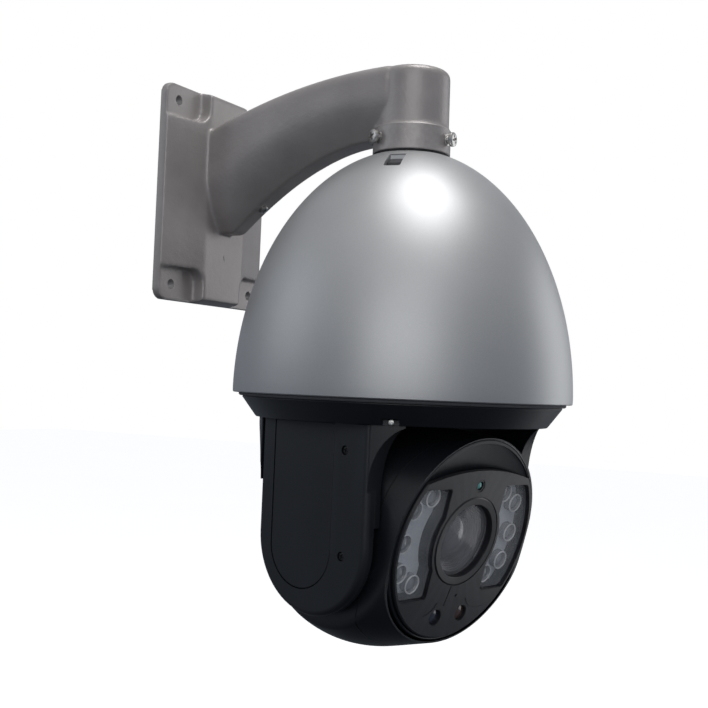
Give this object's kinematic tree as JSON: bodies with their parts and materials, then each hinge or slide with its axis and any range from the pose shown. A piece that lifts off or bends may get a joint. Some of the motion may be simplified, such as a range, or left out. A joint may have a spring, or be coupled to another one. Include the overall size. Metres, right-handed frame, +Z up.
{
  "type": "ptz camera",
  "caption": "Wall-mounted pan and tilt dome camera: arched arm bracket, bullet-shaped sunshield, yoke turning under it, and a tilting ball head with zoom lens and infrared lamps.",
  "frame": {"origin": "centre of the wall plate's back face, on the wall", "axes": "+Z up, the arm reaches along -Y away from the wall, +X to the right when facing the wall"},
  "size_m": [0.22, 0.275, 0.3733],
  "materials": {
    "cast_grey": "satin cast aluminium, painted grey",
    "steel_screw": "zinc plated",
    "black_screw": "black oxide",
    "dark_metal": "satin",
    "black_rubber": "matte",
    "grey_rubber": "matte",
    "silver_paint": "satin metallic silver",
    "dark_plastic": "moulded",
    "black_plastic": "fine satin texture",
    "black_gloss": "semi-gloss",
    "bare_aluminium": "turned",
    "bearing_steel": "ground",
    "motor_black": "satin",
    "brown_plastic": "moulded",
    "board_green": "solder mask",
    "lens_glass": "coated",
    "clear_window": "clear",
    "board_white": "white solder mask",
    "led_clear": "clear",
    "sensor_teal": "gloss",
    "smoked_window": "smoked"
  },
  "bodies": {
    "bracket": {"wall_bracket": "cast_grey", "arm_cover": "cast_grey", "arm_cover_screws": "steel_screw", "clamp_screws": "steel_screw", "neck": "dark_metal", "neck_seal": "black_rubber", "shell": "silver_paint", "shell_plug": "dark_plastic", "rim_seal": "grey_rubber", "base_ring": "black_plastic", "ring_screws": "steel_screw", "chassis_posts": "steel_screw", "chassis_plate": "bare_aluminium", "pan_bearing": "bearing_steel", "bearing_cap": "bare_aluminium", "slip_ring": "brown_plastic", "pan_motor": "motor_black", "pan_belt": "black_rubber", "board_posts": "steel_screw", "power_board": "board_green", "board_parts": "dark_plastic"},
    "pan_motor_pulley": {"pan_motor_pulley": "bare_aluminium"},
    "yoke": {"yoke_frame": "black_plastic", "pan_shaft": "bearing_steel", "pan_shaft_screws": "steel_screw", "retaining_ring": "steel_screw", "pan_pulley": "bare_aluminium", "left_arm_cover": "black_plastic", "right_arm_cover": "black_plastic", "left_panel": "black_plastic", "right_panel": "black_plastic", "arm_screws": "black_screw", "left_tilt_bearing": "bearing_steel", "right_tilt_bearing": "bearing_steel", "tilt_motor": "motor_black", "tilt_belt": "black_rubber"},
    "tilt_motor_pulley": {"tilt_motor_pulley": "bare_aluminium"},
    "head": {"left_tilt_shaft": "bearing_steel", "right_tilt_shaft": "bearing_steel", "tilt_pulley": "bare_aluminium", "head_rear_shell": "black_plastic", "head_seal": "black_rubber", "head_front_frame": "black_plastic", "face_panel": "black_gloss", "lens_ring": "black_gloss", "front_glass": "lens_glass", "left_led_window": "clear_window", "right_led_window": "clear_window", "left_led_board": "board_white", "right_led_board": "board_white", "left_led_lenses": "led_clear", "right_led_lenses": "led_clear", "light_sensor": "sensor_teal", "lower_windows": "smoked_window", "camera_module": "dark_plastic", "lens_barrel": "dark_plastic", "image_board": "board_green"},
    "zoom_group": {"zoom_group": "lens_glass"},
    "focus_group": {"focus_group": "lens_glass"}
  },
  "joints": [
    {"name": "pan", "type": "hinge", "parent": "bracket", "child": "yoke", "pos_m": [0, -0.165, -0.22183], "axis": [0, 0, 1], "continuous": true},
    {"name": "tilt", "type": "hinge", "parent": "yoke", "child": "head", "pos_m": [0, -0.165, -0.22183], "axis": [0.9703, -0.2419, 0], "range_deg": [-15, 75]},
    {"name": "pan_motor_spin", "type": "hinge", "parent": "bracket", "child": "pan_motor_pulley", "pos_m": [0.05826, -0.18621, -0.08583], "axis": [0, 0, 1], "continuous": true},
    {"name": "tilt_motor_spin", "type": "hinge", "parent": "yoke", "child": "tilt_motor_pulley", "pos_m": [-0.07083, -0.14734, -0.10783], "axis": [0.9703, -0.2419, 0], "range_deg": [-60, 300]},
    {"name": "zoom", "type": "slide", "parent": "head", "child": "zoom_group", "axis": [0.2337, 0.9372, 0.2588], "range_m": [0, 0.01]},
    {"name": "focus", "type": "slide", "parent": "head", "child": "focus_group", "axis": [-0.2337, -0.9372, -0.2588], "range_m": [0, 0.008]}
  ],
  "couplings": [
    {"joint": "pan_motor_spin", "follows": "pan", "ratio": 4},
    {"joint": "tilt_motor_spin", "follows": "tilt", "ratio": 4}
  ]
}
